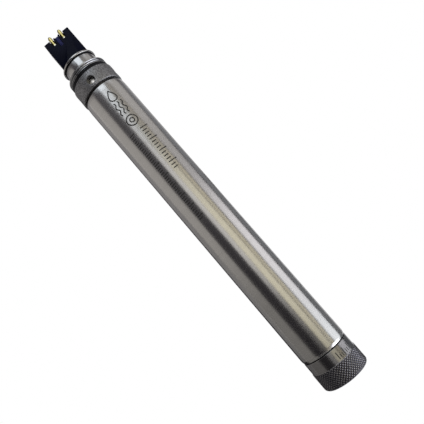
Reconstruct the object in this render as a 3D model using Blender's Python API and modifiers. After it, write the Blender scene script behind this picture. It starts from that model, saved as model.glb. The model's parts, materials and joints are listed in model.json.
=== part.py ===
"""Water quality probe: a slim titanium optical sensor with a screw-on sensing cap.

Run with: blender --background --python part.py, or from Blender's text editor.

Frame, in metres: the origin is on the probe's axis at the front face of the connector rim,
+Z runs along the axis out of the connector and the sensing end points down -Z, as the probe
hangs in use. The connector's keyed side faces -Y.

Outlines of turned pieces are (radius, height) points that run down the outer side and back
up the bore.
"""

import math

import bmesh
import bpy

# ---- driving dimensions: radii ---------------------------------------------------------

TUBE_R = 0.00825
TUBE_BORE_R = 0.0073
NUT_R = 0.0084
THREAD_R = 0.0080
CAP_KNURL_R = 0.0083
CAP_BAND_R = 0.0081
CAP_END_R = 0.00745
CAP_BORE_R = 0.00695
NOSE_R = 0.0066
PLUG_R = 0.0070
RIM_R = 0.00695
NECK_R = 0.0064
SPIGOT_R = 0.0059
BULKHEAD_BORE_R = 0.0051
BLOCK_SPIGOT_R = 0.0049
PIN_R = 0.0007
WINDOW_R = 0.0048
FOIL_R = 0.0047
SENSING_DISC_R = 0.0055
HOLDER_R = 0.0049

# ---- driving dimensions: heights along the axis, from the rim's front face ---------------

PIN_TOP = 0.0143
BLOCK_TOP = 0.01225
RIM_BASE = -0.00085
PORT_GROOVE_BASE = -0.00135
NUT_NOSE_TOP = -0.0053
NECK_BASE = -0.0066
NUT_SHOULDER = -0.0090
NUT_BASE = -0.0153
TUBE_TOP = -0.0163
BULKHEAD_BASE = -0.0280
NOSE_TOP = -0.1200
TUBE_BASE = -0.1316
CAP_TOP = -0.13195
KNURL_TOP = -0.1361
NOSE_BASE = -0.1392
CAP_BASE = -0.1423

# ---- driving dimensions: everything else -------------------------------------------------

GAP = 0.0003  # between pieces that touch on the real probe
SEAL_GAP = 0.0001  # round a seal, which the real groove squeezes
SEAM_GAP = 0.00005  # either side of the seam gasket
CHAMFER = 0.0002
OVERCUT = 0.001  # how far a cutter runs past the face that it opens
TUBE_TIP_CHAMFER = 0.0009  # its height along the axis
CAP_CORNER = 0.0009
THREAD_PITCH, THREAD_DEPTH = 0.0008, 0.0003
CAP_THREAD_PITCH = 0.0010

BLOCK_WIDTH, BLOCK_DEPTH = 0.0110, 0.0080
PIN_X, PIN_Y = 0.0022, 0.0029
PIN_SLOT_WIDTH, PIN_SLOT_LENGTH = 0.0019, 0.00275
KEYWAY_WIDTH, KEYWAY_LENGTH, KEYWAY_DEPTH = 0.0015, 0.0046, 0.0007

SPANNER_HOLE_R = 0.0016
SPANNER_HOLE_Z = -0.0126
SPANNER_TURN = math.radians(-6)  # the free nut rests turned this far

GROOVE_DEPTH = 0.0008
SEAL_GROOVE_HEIGHT = 0.0012
SEAL_SECTION_R = 0.00045

BOARD_WIDTH, BOARD_THICKNESS = 0.0120, 0.0010
BOARD_TOP, BOARD_BASE = -0.0305, -0.1080
CLAMP_R, CLAMP_BORE_R, CLAMP_HEIGHT = 0.0069, 0.0053, 0.0030
CLAMP_TOPS = {"board_clamp_upper": -0.0330, "board_clamp_lower": -0.1030}
CHIPS = {  # name: (side of the board, middle height, width, length along the axis, thickness)
    "regulator_chip": (-1, -0.0470, 0.0030, 0.0030, 0.0010),
    "timing_crystal": (-1, -0.0535, 0.0050, 0.0032, 0.0009),
    "processor_chip": (-1, -0.0625, 0.0070, 0.0070, 0.0012),
    "converter_chip": (-1, -0.0800, 0.0044, 0.0050, 0.0012),
    "power_inductor": (1, -0.0480, 0.0050, 0.0050, 0.0022),
    "memory_chip": (1, -0.0660, 0.0039, 0.0049, 0.0014),
}
LEAD_R = 0.0003

OPTICS_CIRCLE_R = 0.0027
OPTICS_BORE_R = 0.00145
EMITTER_R = 0.00125
STEM_R = 0.0005

RING_STEPS = 36
HIDDEN_STEPS = 28
SEAL_STEPS = 24
SMALL_STEPS = 12
SEAL_POINTS = 8
SMOOTH_ANGLE = math.radians(35)

COLOURS = {  # material: (colour, roughness, metallic)
    "titanium": ((0.42, 0.40, 0.37), 0.32, 1.0),
    "blasted_titanium": ((0.14, 0.14, 0.145), 0.55, 1.0),
    "black_polymer": ((0.008, 0.010, 0.020), 0.45, 0.0),
    "rubber": ((0.012, 0.012, 0.013), 0.6, 0.0),
    "gold": ((0.90, 0.68, 0.22), 0.25, 1.0),
    "acetal": ((0.75, 0.74, 0.70), 0.5, 0.0),
    "board_green": ((0.02, 0.14, 0.06), 0.4, 0.0),
    "chip_black": ((0.02, 0.02, 0.02), 0.5, 0.0),
    "tinned_copper": ((0.72, 0.60, 0.50), 0.3, 1.0),
    "amber_film": ((0.55, 0.28, 0.08), 0.4, 0.0),
    "clear_glass": ((0.80, 0.85, 0.86), 0.05, 0.0),
    "blue_lens": ((0.05, 0.15, 0.80), 0.1, 0.0),
    "red_lens": ((0.75, 0.04, 0.03), 0.1, 0.0),
    "filter_glass": ((0.35, 0.02, 0.02), 0.1, 0.0),
    "foil_black": ((0.015, 0.013, 0.014), 0.7, 0.0),
}


# ---- scene and materials -----------------------------------------------------------------


def clear_scene():
    for obj in list(bpy.data.objects):
        bpy.data.objects.remove(obj, do_unlink=True)


def new_collection(name):
    collection = bpy.data.collections.new(name)
    bpy.context.scene.collection.children.link(collection)
    return collection


def new_material(name):
    colour, roughness, metallic = COLOURS[name]
    material = bpy.data.materials.new(name)
    material.use_nodes = True
    shader = material.node_tree.nodes["Principled BSDF"]
    shader.inputs["Base Color"].default_value = (*colour, 1.0)
    shader.inputs["Roughness"].default_value = roughness
    shader.inputs["Metallic"].default_value = metallic
    return material


clear_scene()
PARTS = new_collection("water_quality_probe")
CUTTERS = new_collection("cutters")
MATERIALS = {name: new_material(name) for name in COLOURS}


# ---- shapes --------------------------------------------------------------------------------


def new_body(name):
    """An empty on the probe's axis that carries one rigid group of pieces."""
    empty = bpy.data.objects.new(name, None)
    empty.empty_display_size = 0.01
    PARTS.objects.link(empty)
    return empty


def add_piece(name, data, body, material):
    piece = bpy.data.objects.new(name, data)
    piece.data.materials.append(MATERIALS[material])
    piece.parent = body
    PARTS.objects.link(piece)
    return piece


def turned(name, outline, body, material, place=(0, 0), steps=RING_STEPS):
    """A turned piece about the vertical axis at place. A solid's outline ends on the axis."""
    points = [(radius, 0, height) for radius, height in outline]
    edges = [(i, i + 1) for i in range(len(points) - 1)]
    if outline[0][0] > 0:
        edges.append((len(points) - 1, 0))
    mesh = bpy.data.meshes.new(name)
    mesh.from_pydata(points, edges, [])
    piece = add_piece(name, mesh, body, material)
    piece.location = (*place, 0)
    screw = piece.modifiers.new("Turn", "SCREW")
    screw.steps = screw.render_steps = steps
    screw.use_merge_vertices = True
    screw.merge_threshold = 1e-6
    return piece


def rod(radius, top, base, chamfer=0.0):
    """The outline of a solid round bar, with both ends chamfered."""
    if not chamfer:
        return [(0, top), (radius, top), (radius, base), (0, base)]
    inner = radius - chamfer
    outline = [(0, top), (inner, top), (radius, top - chamfer)]
    return outline + [(radius, base + chamfer), (inner, base), (0, base)]


def ring(outer, inner, top, base):
    """The outline of a plain ring."""
    return [(outer, top), (outer, base), (inner, base), (inner, top)]


def thread(crest, top, base, pitch):
    """Outline points of round ridges that stand for a thread, from top to base."""
    count = math.floor((top - base) / pitch)
    step = (top - base) / count
    outline = []
    for i in range(count):
        start = top - i * step
        root = (crest - THREAD_DEPTH, start - step)
        outline += [(crest, start - 0.3 * step), (crest, start - 0.6 * step), root]
    return outline


def groove(outer, top, height, depth=GROOVE_DEPTH):
    """Four outline points of a seal groove, from its upper edge to its lower one."""
    floor = outer - depth
    base = top - height
    return [(outer, top), (floor, top), (floor, base), (outer, base)]


def o_ring(name, radius, height, body, section=SEAL_SECTION_R):
    """A round-section seal whose section is centred at this radius and height."""
    turns = [2 * math.pi * i / SEAL_POINTS for i in range(SEAL_POINTS)]
    outline = [(radius + section * math.cos(t), height - section * math.sin(t)) for t in turns]
    return turned(name, outline, body, "rubber", steps=SEAL_STEPS)


def box_mesh(name, low, high):
    mesh = bpy.data.meshes.new(name)
    shape = bmesh.new()
    bmesh.ops.create_cube(shape, size=1)
    size = [b - a for a, b in zip(low, high)]
    middle = [(a + b) / 2 for a, b in zip(low, high)]
    bmesh.ops.scale(shape, vec=size, verts=shape.verts)
    bmesh.ops.translate(shape, vec=middle, verts=shape.verts)
    shape.to_mesh(mesh)
    shape.free()
    return mesh


def box(name, low, high, body, material, bevel=0.0):
    piece = add_piece(name, box_mesh(name, low, high), body, material)
    if bevel:
        edge = piece.modifiers.new("Edges", "BEVEL")
        edge.width = bevel
        edge.segments = 1
    return piece


def cutter(name, mesh):
    obj = bpy.data.objects.new(name, mesh)
    obj.hide_render = True
    obj.display_type = "WIRE"
    CUTTERS.objects.link(obj)
    return obj


def box_cutter(name, low, high):
    return cutter(name, box_mesh(name, low, high))


def rod_cutter(name, radius, middle, length, turn=(0, 0, 0), sides=SMALL_STEPS):
    """A round cutter about its middle. It stands upright until it is turned."""
    mesh = bpy.data.meshes.new(name)
    shape = bmesh.new()
    bmesh.ops.create_cone(
        shape, cap_ends=True, segments=sides, radius1=radius, radius2=radius, depth=length
    )
    shape.to_mesh(mesh)
    shape.free()
    obj = cutter(name, mesh)
    obj.rotation_euler = turn
    obj.location = middle
    return obj


def combine(piece, other, operation="DIFFERENCE"):
    boolean = piece.modifiers.new(other.name, "BOOLEAN")
    boolean.operation = operation
    boolean.solver = "EXACT"
    boolean.object = other


def wire(name, points, radius, body, material):
    """A round wire along a smooth curve through the points."""
    curve = bpy.data.curves.new(name, "CURVE")
    curve.dimensions = "3D"
    curve.resolution_u = 3
    curve.bevel_depth = radius
    curve.bevel_resolution = 1
    curve.use_fill_caps = True
    spline = curve.splines.new("BEZIER")
    spline.bezier_points.add(len(points) - 1)
    for knot, point in zip(spline.bezier_points, points):
        knot.co = point
        knot.handle_left_type = knot.handle_right_type = "AUTO"
    return add_piece(name, curve, body, material)


def settle(piece):
    """Applies the piece's modifiers and shades it smooth up to its real edges."""
    bpy.context.view_layer.update()
    seen = piece.evaluated_get(bpy.context.evaluated_depsgraph_get())
    mesh = bpy.data.meshes.new_from_object(seen)
    piece.modifiers.clear()
    piece.data = mesh
    mesh.shade_smooth()
    mesh.set_sharp_from_angle(angle=SMOOTH_ANGLE)


# ---- the probe's body: tube, bulkhead and connector -----------------------------------------


def make_tube(body):
    edge_r = TUBE_R - CHAMFER
    outline = [
        (edge_r, TUBE_TOP),
        (TUBE_R, TUBE_TOP - CHAMFER),
        (TUBE_R, TUBE_BASE + TUBE_TIP_CHAMFER),
        (edge_r, TUBE_BASE),
        (TUBE_BORE_R, TUBE_BASE),
        (TUBE_BORE_R, TUBE_TOP),
    ]
    turned("tube_housing", outline, body, "titanium")


def make_bulkhead(body):
    """Plugs the tube's front end, carries the connector, and lets the nut turn on its neck."""
    floor_r = 0.0061
    front_groove, rear_groove = -0.0190, -0.0222
    outline = [
        (RIM_R - CHAMFER, 0),
        (RIM_R, -CHAMFER),
        (RIM_R, RIM_BASE),
        (floor_r, RIM_BASE),
        (floor_r, PORT_GROOVE_BASE),
        (NECK_R, PORT_GROOVE_BASE),
        (NECK_R, NECK_BASE),
        (SPIGOT_R, NECK_BASE),
        (SPIGOT_R, TUBE_TOP - GAP),
        (PLUG_R, TUBE_TOP - GAP),
        *groove(PLUG_R, front_groove, SEAL_GROOVE_HEIGHT),
        *groove(PLUG_R, rear_groove, SEAL_GROOVE_HEIGHT),
        (PLUG_R, BULKHEAD_BASE),
        (BULKHEAD_BORE_R, BULKHEAD_BASE),
        (BULKHEAD_BORE_R, 0),
    ]
    turned("bulkhead", outline, body, "titanium")
    seal_r = TUBE_BORE_R - SEAL_GAP - SEAL_SECTION_R
    for name, top in (("bulkhead_o_ring_front", front_groove), ("bulkhead_o_ring_rear", rear_groove)):
        o_ring(name, seal_r, top - SEAL_GROOVE_HEIGHT / 2, body)
    section = (RIM_BASE - PORT_GROOVE_BASE) / 2 - SEAL_GAP / 2
    middle = (RIM_BASE + PORT_GROOVE_BASE) / 2
    o_ring("port_o_ring", floor_r + SEAL_GAP + section, middle, body, section)


def pin_places():
    """The four contacts, front pair first."""
    return [(side * PIN_X, face * PIN_Y) for face in (-1, 1) for side in (-1, 1)]


def make_connector_block(body):
    """A rectangular head on a round spigot, bored for four contacts with open slots at its end."""
    half_w, half_d = BLOCK_WIDTH / 2, BLOCK_DEPTH / 2
    low, high = (-half_w, -half_d, GAP), (half_w, half_d, BLOCK_TOP)
    block = box("connector_block", low, high, body, "black_polymer", bevel=CHAMFER)
    spigot_top, spigot_base = 0.0012, -0.0120
    middle = (0, 0, (spigot_top + spigot_base) / 2)
    length = spigot_top - spigot_base
    spigot = rod_cutter("block_spigot", BLOCK_SPIGOT_R, middle, length, sides=HIDDEN_STEPS)
    combine(block, spigot, "UNION")
    for number, (x, y) in enumerate(pin_places(), 1):
        hole = rod_cutter(f"pin_hole_{number}", PIN_R + SEAL_GAP, (x, y, 0), 4 * BLOCK_TOP)
        combine(block, hole)
        face = math.copysign(1, y)
        depths = sorted((face * PIN_Y, face * (half_d + OVERCUT)))
        slot_low = (x - PIN_SLOT_WIDTH / 2, depths[0], BLOCK_TOP - PIN_SLOT_LENGTH)
        slot_high = (x + PIN_SLOT_WIDTH / 2, depths[1], BLOCK_TOP + OVERCUT)
        combine(block, box_cutter(f"pin_slot_{number}", slot_low, slot_high))
    keyway_low = (-KEYWAY_WIDTH / 2, -half_d - OVERCUT, BLOCK_TOP - KEYWAY_LENGTH)
    keyway_high = (KEYWAY_WIDTH / 2, -half_d + KEYWAY_DEPTH, BLOCK_TOP + OVERCUT)
    combine(block, box_cutter("keyway", keyway_low, keyway_high))


def make_contacts(body):
    """Four pins through the block, and the leads that join them to the circuit board."""
    pin_base, bend_z = -0.0142, -0.0240
    outline = rod(PIN_R, PIN_TOP, pin_base, CHAMFER)
    lead_end_y = BOARD_THICKNESS / 2 + GAP + LEAD_R
    spread, spread_at_bend = 1.5, 1.3  # the leads' places across, over the pins'
    for number, (x, y) in enumerate(pin_places(), 1):
        turned(f"contact_pin_{number}", outline, body, "gold", (x, y), steps=SMALL_STEPS)
        face = math.copysign(1, y)
        route = [
            (x, y, pin_base - GAP),
            (x, y, pin_base - 0.0030),
            (x * spread_at_bend, face * (PIN_Y + lead_end_y) / 2, bend_z),
            (x * spread, face * lead_end_y, BOARD_TOP + 0.0010),
            (x * spread, face * lead_end_y, BOARD_TOP - 0.0020),
        ]
        wire(f"contact_lead_{number}", route, LEAD_R, body, "tinned_copper")


# ---- the locking nut -------------------------------------------------------------------------


def make_locking_nut(body):
    """A captive nut: threaded nose above, blasted grip with spanner holes below."""
    relief_r, relief_height = 0.0070, 0.0011
    bore_r = SPIGOT_R + 0.0002
    counterbore_r, counterbore_base = 0.0068, -0.0078
    relief_top = NUT_SHOULDER + relief_height
    outline = [
        (THREAD_R - THREAD_DEPTH, NUT_NOSE_TOP),
        *thread(THREAD_R, NUT_NOSE_TOP, relief_top, THREAD_PITCH),
        (relief_r, relief_top),
        (relief_r, NUT_SHOULDER),
        (NUT_R - CHAMFER, NUT_SHOULDER),
        (NUT_R, NUT_SHOULDER - CHAMFER),
        (NUT_R, NUT_BASE + 2 * CHAMFER),
        (NUT_R - 2 * CHAMFER, NUT_BASE),
        (bore_r, NUT_BASE),
        (bore_r, counterbore_base),
        (counterbore_r, counterbore_base),
        (counterbore_r, NUT_NOSE_TOP),
    ]
    nut = turned("locking_nut", outline, body, "blasted_titanium")
    middle = (0, 0, SPANNER_HOLE_Z)
    across = 2 * (NUT_R + OVERCUT)
    for number in range(2):
        turn = (math.pi / 2, 0, SPANNER_TURN + number * math.pi / 2)
        holes = rod_cutter(f"spanner_holes_{number}", SPANNER_HOLE_R, middle, across, turn)
        combine(nut, holes)
    section = relief_height / 2 - SEAL_GAP
    middle = NUT_SHOULDER + relief_height / 2
    o_ring("nut_o_ring", relief_r + SEAL_GAP + section, middle, body, section)


def make_slip_washer(body):
    """Lets the nut pull on the neck's back face without rubbing it."""
    outer_r, thickness = 0.00665, 0.0006
    top = NECK_BASE - GAP
    outline = ring(outer_r, SPIGOT_R + GAP / 2, top, top - thickness)
    turned("slip_washer", outline, body, "acetal", steps=HIDDEN_STEPS)


# ---- the sensing end ---------------------------------------------------------------------------


def make_nose(body):
    """Plugs the tube's lower end and carries the optics, the window and the cap's thread."""
    tube_groove, cap_groove = -0.1226, -0.1329
    cap_groove_height = 0.0011
    thread_top = cap_groove - cap_groove_height - 0.0003
    ledge_base, ledge_top, ledge_r = -0.1366, -0.1354, 0.0039
    window_bore_r, board_bore_r, board_bore_base = 0.0050, 0.0059, -0.1252
    holder_bore_r = 0.0052
    outline = [
        (PLUG_R, NOSE_TOP),
        *groove(PLUG_R, tube_groove, SEAL_GROOVE_HEIGHT),
        (PLUG_R, TUBE_BASE),
        (NOSE_R, TUBE_BASE),
        *groove(NOSE_R, cap_groove, cap_groove_height),
        *thread(NOSE_R, thread_top, NOSE_BASE + CHAMFER, CAP_THREAD_PITCH),
        (NOSE_R - THREAD_DEPTH, NOSE_BASE),
        (window_bore_r, NOSE_BASE),
        (window_bore_r, ledge_base),
        (ledge_r, ledge_base),
        (ledge_r, ledge_top),
        (holder_bore_r, ledge_top),
        (holder_bore_r, board_bore_base),
        (board_bore_r, board_bore_base),
        (board_bore_r, NOSE_TOP),
    ]
    turned("sensor_nose", outline, body, "titanium", steps=HIDDEN_STEPS)
    seal_r = TUBE_BORE_R - SEAL_GAP - SEAL_SECTION_R
    o_ring("nose_o_ring", seal_r, tube_groove - SEAL_GROOVE_HEIGHT / 2, body)
    cap_seal_r = CAP_BORE_R - 2 * SEAL_GAP - SEAL_SECTION_R
    o_ring("cap_o_ring", cap_seal_r, cap_groove - cap_groove_height / 2, body)
    seal_middle_r, section = 0.0044, 0.00035
    o_ring("window_seal", seal_middle_r, ledge_base - SEAL_GAP - section, body, section)
    window_top = ledge_base - 2 * SEAL_GAP - 2 * section
    outline = rod(WINDOW_R, window_top, NOSE_BASE + CHAMFER)
    turned("probe_window", outline, body, "clear_glass", steps=HIDDEN_STEPS)


def optics_places():
    """Three bores round the axis: excitation light, reference light, detector."""
    turns = [math.radians(90 + 120 * i) for i in range(3)]
    return [(OPTICS_CIRCLE_R * math.cos(t), OPTICS_CIRCLE_R * math.sin(t)) for t in turns]


def stem_outline(top, shoulder):
    """A lead stem and the shoulder of the round body under it."""
    return [(0, top), (STEM_R, top), (STEM_R, shoulder), (EMITTER_R, shoulder)]


def lamp_outline(top, shoulder, base):
    """A stem and a round body with a domed lens."""
    lens = base + EMITTER_R
    dome = [math.radians(a) for a in (0, 30, 60)]
    rounding = [(EMITTER_R * math.cos(a), lens - EMITTER_R * math.sin(a)) for a in dome]
    return [*stem_outline(top, shoulder), *rounding, (0, base)]


def make_optics(body):
    """A small board with two lamps, a detector under a filter, and a thermistor in a bored block."""
    board_r, board_top, board_base = 0.0056, -0.1241, -0.1249
    holder_top, holder_base = -0.1260, -0.1351
    shoulder, lens_base, diode_base, filter_base = -0.1275, -0.13275, -0.1330, -0.1340
    thermistor_r, thermistor_bore_r, thermistor_base = 0.0006, 0.0009, -0.1348
    board = rod(board_r, board_top, board_base)
    turned("optics_board", board, body, "board_green", steps=HIDDEN_STEPS)
    block = rod(HOLDER_R, holder_top, holder_base, CHAMFER)
    holder = turned("optics_holder", block, body, "black_polymer", steps=HIDDEN_STEPS)
    length = holder_top - holder_base + 2 * OVERCUT
    bores = [(place, OPTICS_BORE_R) for place in optics_places()] + [((0, 0), thermistor_bore_r)]
    for number, ((x, y), radius) in enumerate(bores, 1):
        middle = (x, y, (holder_top + holder_base) / 2)
        combine(holder, rod_cutter(f"optics_bore_{number}", radius, middle, length))
    excitation, reference, detector = optics_places()
    stem_top = board_base - GAP
    lamp = lamp_outline(stem_top, shoulder, lens_base)
    turned("excitation_led", lamp, body, "blue_lens", excitation, SMALL_STEPS)
    turned("reference_led", lamp, body, "red_lens", reference, SMALL_STEPS)
    diode = [*stem_outline(stem_top, shoulder), (EMITTER_R, diode_base), (0, diode_base)]
    turned("photodiode", diode, body, "chip_black", detector, SMALL_STEPS)
    glass = rod(EMITTER_R, diode_base - GAP, filter_base)
    turned("optical_filter", glass, body, "filter_glass", detector, SMALL_STEPS)
    bead = rod(thermistor_r, stem_top, thermistor_base, CHAMFER)
    turned("thermistor", bead, body, "chip_black", steps=SMALL_STEPS)


def make_electronics(body):
    half_t, half_w = BOARD_THICKNESS / 2, BOARD_WIDTH / 2
    low, high = (-half_w, -half_t, BOARD_BASE), (half_w, half_t, BOARD_TOP)
    box("circuit_board", low, high, body, "board_green")
    for name, top in CLAMP_TOPS.items():
        base = top - CLAMP_HEIGHT
        outline = ring(CLAMP_R, CLAMP_BORE_R, top, base)
        clamp = turned(name, outline, body, "acetal", steps=HIDDEN_STEPS)
        low = (-half_w - GAP, -half_t - GAP, base - OVERCUT)
        high = (half_w + GAP, half_t + GAP, top + OVERCUT)
        combine(clamp, box_cutter(f"{name}_slot", low, high))
    for name, (side, middle, width, length, thickness) in CHIPS.items():
        near = side * (half_t + GAP)
        depths = sorted((near, near + side * thickness))
        low = (-width / 2, depths[0], middle - length / 2)
        high = (width / 2, depths[1], middle + length / 2)
        box(name, low, high, body, "chip_black")
    flex_half_width, flex_base = 0.0025, -0.1238
    flex_top = CLAMP_TOPS["board_clamp_lower"] - CLAMP_HEIGHT - GAP
    low = (-flex_half_width, -half_t - 2 * GAP, flex_base)
    high = (flex_half_width, -half_t - GAP, flex_top)
    box("flex_cable", low, high, body, "amber_film")


def make_seam_gasket(body):
    """The flat ring between the tube's end and the cap's mouth. It drops with the cap."""
    outer_r = 0.00795
    outline = ring(outer_r, NOSE_R + GAP, TUBE_BASE - SEAM_GAP, CAP_TOP + SEAM_GAP)
    turned("seam_gasket", outline, body, "rubber")


def make_cap(body):
    """The screw-on cap: a knurled shell, a clear disc and the sensing foil on it."""
    floor, ledge = -0.1396, -0.1417
    seat_r, opening_r = SENSING_DISC_R + 0.0002, FOIL_R + 0.0002
    corner = [math.radians(a) for a in (0, 30, 60, 90)]
    corner_z = CAP_BASE + CAP_CORNER
    corner_r = CAP_KNURL_R - CAP_END_R
    rounding = [
        (CAP_END_R + corner_r * math.cos(a), corner_z - CAP_CORNER * math.sin(a)) for a in corner
    ]
    outline = [
        (CAP_BAND_R - CHAMFER, CAP_TOP),
        (CAP_BAND_R, CAP_TOP - CHAMFER),
        (CAP_BAND_R, KNURL_TOP),
        (CAP_KNURL_R, KNURL_TOP - CHAMFER),
        *rounding,
        (opening_r, CAP_BASE),
        (opening_r, ledge),
        (seat_r, ledge),
        (seat_r, floor),
        (CAP_BORE_R, floor),
        (CAP_BORE_R, CAP_TOP),
    ]
    turned("cap_shell", outline, body, "blasted_titanium")
    disc = rod(SENSING_DISC_R, floor - GAP, ledge + SEAL_GAP)
    turned("sensing_disc", disc, body, "clear_glass")
    foil_recess = 0.00025
    foil = rod(FOIL_R, ledge - SEAL_GAP / 2, CAP_BASE + foil_recess)
    turned("sensing_foil", foil, body, "foil_black")


def main():
    probe = new_body("probe_body")
    nut_carrier = new_body("nut_carrier")
    nut = new_body("nut_body")
    cap_carrier = new_body("cap_carrier")
    cap = new_body("cap_body")
    make_tube(probe)
    make_bulkhead(probe)
    make_connector_block(probe)
    make_contacts(probe)
    make_electronics(probe)
    make_optics(probe)
    make_nose(probe)
    make_slip_washer(nut_carrier)
    make_locking_nut(nut)
    make_seam_gasket(cap_carrier)
    make_cap(cap)
    for piece in PARTS.objects:
        if piece.type == "MESH":
            settle(piece)


main()
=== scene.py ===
"""Looks for the water quality probe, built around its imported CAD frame.

Metres, in the frame's own axes: the origin is on the probe's axis at the connector rim, +Z runs
out of the connector, the sensing end points down -Z, and the connector's keyed side faces -Y.
The main sizes come from the CAD nodes' boxes, and the finer ones are named where they are used.
An outline is a list of (radius, height) points that run down the outer side and back up the bore,
or end on the axis. A third number rounds the corner.
"""

import json
import math

import bmesh
import bpy
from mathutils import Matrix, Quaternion, Vector


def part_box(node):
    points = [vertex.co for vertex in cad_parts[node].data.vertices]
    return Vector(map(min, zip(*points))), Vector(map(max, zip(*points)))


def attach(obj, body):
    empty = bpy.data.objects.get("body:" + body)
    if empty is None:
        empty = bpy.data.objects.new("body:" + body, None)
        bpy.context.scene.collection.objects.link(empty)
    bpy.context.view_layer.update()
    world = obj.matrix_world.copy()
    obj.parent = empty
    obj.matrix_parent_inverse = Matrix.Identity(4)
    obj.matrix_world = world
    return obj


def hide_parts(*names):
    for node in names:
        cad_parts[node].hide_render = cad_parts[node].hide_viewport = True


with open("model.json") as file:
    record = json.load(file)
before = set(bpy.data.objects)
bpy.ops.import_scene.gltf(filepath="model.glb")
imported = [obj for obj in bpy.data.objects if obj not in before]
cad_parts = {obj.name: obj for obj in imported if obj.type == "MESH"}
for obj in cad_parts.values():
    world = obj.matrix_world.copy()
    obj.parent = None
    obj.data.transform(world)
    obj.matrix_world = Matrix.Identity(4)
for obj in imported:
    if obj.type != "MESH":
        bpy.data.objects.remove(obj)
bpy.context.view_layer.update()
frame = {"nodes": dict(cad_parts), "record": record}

STEPS = 160  # round the probe
SMOOTH_STEPS = 256  # round the tube, which is seen closest
FINE_STEPS = 320  # round the nut's thread
KNURL_STEPS = 720  # round the knurl
DISC_STEPS = 96  # round a plain disc
SMALL_STEPS = 40  # round a pin
HOLE_STEPS = 24  # round a small hole
BORE_STEPS = 32  # round a pin's bore
SPANNER_STEPS = 64  # round a spanner hole
SECTION_STEPS = 20  # round an O-ring's section
THREAD_ROWS = 18  # rows of points down one turn of a thread
EDGE = 0.00008  # a broken edge's radius
PAST = 0.001  # how far a cutter stands past the face that it opens
SKIN = 0.0001  # how close to a surface still counts as on it
SAME = 1e-7  # radii that differ by less are equal
SHARP_ANGLE = math.radians(38)
CAMERA_TURN = math.radians(4)  # from straight in front of the keyed side, towards -X


# ---- sizes from the frame --------------------------------------------------------------------


def outer_radius(node):
    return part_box(node)[1].x


def top_of(node):
    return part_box(node)[1].z


def base_of(node):
    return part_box(node)[0].z


TUBE_R = outer_radius("tube_housing")
TUBE_TOP, TUBE_BASE = top_of("tube_housing"), base_of("tube_housing")
TUBE_BORE_R = 0.0073
PLUG_R = outer_radius("bulkhead")
NUT_R = outer_radius("locking_nut")
NUT_TOP, NUT_BASE = top_of("locking_nut"), base_of("locking_nut")
NUT_THREAD_R, NUT_THREAD_DEPTH = 0.0080, 0.0003
CAP_R = outer_radius("cap_shell")
CAP_TOP, CAP_BASE = top_of("cap_shell"), base_of("cap_shell")
BAND_R, BAND_BASE = 0.0081, -0.1361  # the cap's plain band, above its knurl
NOSE_TOP, NOSE_BASE = top_of("sensor_nose"), base_of("sensor_nose")
CONTACTS = range(1, 5)


# ---- node graphs -----------------------------------------------------------------------------


def add_node(tree, kind, inputs=None, **settings):
    """A shader node. An input is a number, a colour, or another node's output to link."""
    made = tree.nodes.new(kind)
    for key, value in settings.items():
        setattr(made, key, value)
    for socket, value in (inputs or {}).items():
        if isinstance(value, bpy.types.NodeSocket):
            tree.links.new(value, made.inputs[socket])
        else:
            made.inputs[socket].default_value = value
    return made


def new_material(name, colour, roughness, metallic=0.0, **sockets):
    """A Principled material, its tree and its shader. Underscores in sockets are spaces."""
    made = bpy.data.materials.new(name)
    made.use_nodes = True
    shader = made.node_tree.nodes["Principled BSDF"]
    shader.inputs["Base Color"].default_value = (*colour, 1)
    shader.inputs["Roughness"].default_value = roughness
    shader.inputs["Metallic"].default_value = metallic
    for key, value in sockets.items():
        shader.inputs[key.replace("_", " ")].default_value = value
    return made, made.node_tree, shader


def noise(tree, stretch, detail=3.0, roughness=0.55):
    """Noise in the piece's own space, with this many features a metre along X, Y and Z."""
    place = add_node(tree, "ShaderNodeTexCoord").outputs["Object"]
    moved = add_node(tree, "ShaderNodeMapping", {"Vector": place, "Scale": stretch})
    inputs = {"Vector": moved.outputs[0], "Scale": 1.0, "Detail": detail, "Roughness": roughness}
    return add_node(tree, "ShaderNodeTexNoise", inputs).outputs[0]


def between(tree, factor, low, high, start=0.3, end=0.7):
    """The factor's range from start to end, spread over low to high."""
    inputs = {0: factor, 1: start, 2: end, 3: low, 4: high}
    return add_node(tree, "ShaderNodeMapRange", inputs).outputs[0]


def shades(tree, factor, dark, light, start=0.3, end=0.7):
    """A colour between two, by a factor."""
    mixed = add_node(tree, "ShaderNodeMix", data_type="RGBA")
    tree.links.new(between(tree, factor, 0, 1, start, end), mixed.inputs[0])
    mixed.inputs[6].default_value = (*dark, 1)
    mixed.inputs[7].default_value = (*light, 1)
    return mixed.outputs[2]


def bumped(tree, shader, height, depth):
    bump = add_node(tree, "ShaderNodeBump", {"Height": height, "Distance": depth, "Strength": 1.0})
    tree.links.new(bump.outputs[0], shader.inputs["Normal"])


def tinted(colour, factor):
    return tuple(channel * factor for channel in colour)


# ---- materials -------------------------------------------------------------------------------


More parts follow.
